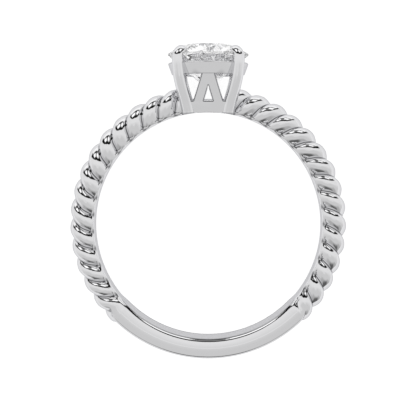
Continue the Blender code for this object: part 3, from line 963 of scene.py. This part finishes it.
def makeSoftBoxGroup():
    # Lays one soft-edged box over the brightness of the room. Angles are in radians. With an
    # Arch of 1 it is rounded: its width shrinks above and below its middle.
    group, given, result = newGroup("softBox", (
        ("Level", "Float"), ("Direction", "Vector"), ("Azimuth", "Float"), ("Elevation", "Float"),
        ("Width", "Float"), ("Height", "Float"), ("Blur", "Float"), ("Arch", "Float"),
        ("Brightness", "Float")),
        (("Level", "Float"),))
    turned = group.nodes.new("ShaderNodeVectorRotate")
    turned.rotation_type = "Z_AXIS"
    group.links.new(given["Direction"], turned.inputs["Vector"])
    group.links.new(given["Azimuth"], turned.inputs["Angle"])
    parts = group.nodes.new("ShaderNodeSeparateXYZ")
    group.links.new(turned.outputs[0], parts.inputs[0])
    sideways = mathNode(group, "ABSOLUTE", mathNode(group, "ARCTAN2", parts.outputs[0],
                                                    parts.outputs[1]))
    upwards = mathNode(group, "ABSOLUTE",
                       mathNode(group, "SUBTRACT", mathNode(group, "ARCSINE", parts.outputs[2]),
                                given["Elevation"]))
    upShare = mathNode(group, "MINIMUM", mathNode(
        group, "DIVIDE", upwards, mathNode(group, "MULTIPLY", given["Height"], 0.5)), 1.0)
    shrunk = mathNode(group, "MULTIPLY",
                      mathNode(group, "POWER", upShare, studio["archPower"]), given["Arch"])
    width = mathNode(group, "MULTIPLY", given["Width"], mathNode(
        group, "POWER", mathNode(group, "SUBTRACT", 1.0, shrunk), 1 / studio["archPower"]))
    masks = []
    for angle, size in ((sideways, width), (upwards, given["Height"])):
        half = mathNode(group, "MULTIPLY", size, 0.5)
        soft = mathNode(group, "MULTIPLY", given["Blur"], 0.5)
        edge = group.nodes.new("ShaderNodeMapRange")
        edge.interpolation_type = "SMOOTHSTEP"
        group.links.new(angle, edge.inputs["Value"])
        group.links.new(mathNode(group, "SUBTRACT", half, soft), edge.inputs["From Min"])
        group.links.new(mathNode(group, "ADD", half, soft), edge.inputs["From Max"])
        edge.inputs["To Min"].default_value = 1.0
        edge.inputs["To Max"].default_value = 0.0
        masks.append(edge.outputs[0])
    level = floatMix(group, mathNode(group, "MULTIPLY", *masks), given["Level"],
                     given["Brightness"])
    group.links.new(level, result["Level"])
    return group


def makeRoom():
    world = bpy.data.worlds.new("studioRoom")
    world.use_nodes = True
    tree = world.node_tree
    background = tree.nodes["Background"]
    direction = tree.nodes.new("ShaderNodeTexCoord").outputs["Generated"]
    softBox = makeSoftBoxGroup()
    level = studio["level"]
    for azimuth, elevation, width, height, blur, arch, brightness in studio["boxes"]:
        level = placeGroup(tree, softBox, Level=level, Direction=direction,
                           Azimuth=math.radians(azimuth), Elevation=math.radians(elevation),
                           Width=math.radians(width), Height=math.radians(height),
                           Blur=math.radians(blur), Arch=arch, Brightness=brightness)["Level"]
    rays = tree.nodes.new("ShaderNodeLightPath").outputs
    light, evened = studio["stoneLight"]
    share = mathNode(tree, "MULTIPLY", rays["Is Transmission Ray"], evened)
    level = floatMix(tree, share, level, light)
    level = floatMix(tree, rays["Is Camera Ray"], level, studio["backdrop"])
    tree.links.new(level, background.inputs["Strength"])
    background.inputs["Color"].default_value = (1, 1, 1, 1)
    bpy.context.scene.world = world


makeFloor()
makeRoom()
bpy.context.scene.view_settings.view_transform = "Standard"
bpy.context.scene.cycles.max_bounces = studio["bounces"]
bpy.context.scene.cycles.glossy_bounces = studio["glossyBounces"]
bpy.context.scene.cycles.transmission_bounces = studio["bounces"]
print("lit the studio")

# Camera, in the ring's own upright frame, in millimetres

view = {
    "distance": 63.8,
    "pitch": 3.76,                 # degrees that it looks down
    "raise": 3.8856,
    "aside": -0.02,
    "lens": 72.0,
    "sensor": 36.0,
    "shiftY": -0.08,
    "clipStart": 0.001,            # metres
}


def makeCamera():
    pitch = math.radians(view["pitch"])
    forward = Vector((0, math.cos(pitch), -math.sin(pitch)))
    up = Vector((0, math.sin(pitch), math.cos(pitch)))
    right = Vector((1, 0, 0))
    spot = -view["distance"] * forward + view["raise"] * up + view["aside"] * right
    turn = lying.to_3x3().normalized()
    camera = bpy.data.cameras.new("photoCamera")
    camera.lens = view["lens"]
    camera.sensor_width = view["sensor"]
    camera.shift_y = view["shiftY"]
    camera.clip_start = view["clipStart"]
    holder = bpy.data.objects.new("photoCamera", camera)
    axes = Matrix([turn @ right, turn @ up, turn @ -forward]).transposed()
    holder.matrix_world = Matrix.Translation(lying @ spot) @ axes.to_4x4()
    bpy.context.scene.collection.objects.link(holder)
    bpy.context.scene.camera = holder


makeCamera()
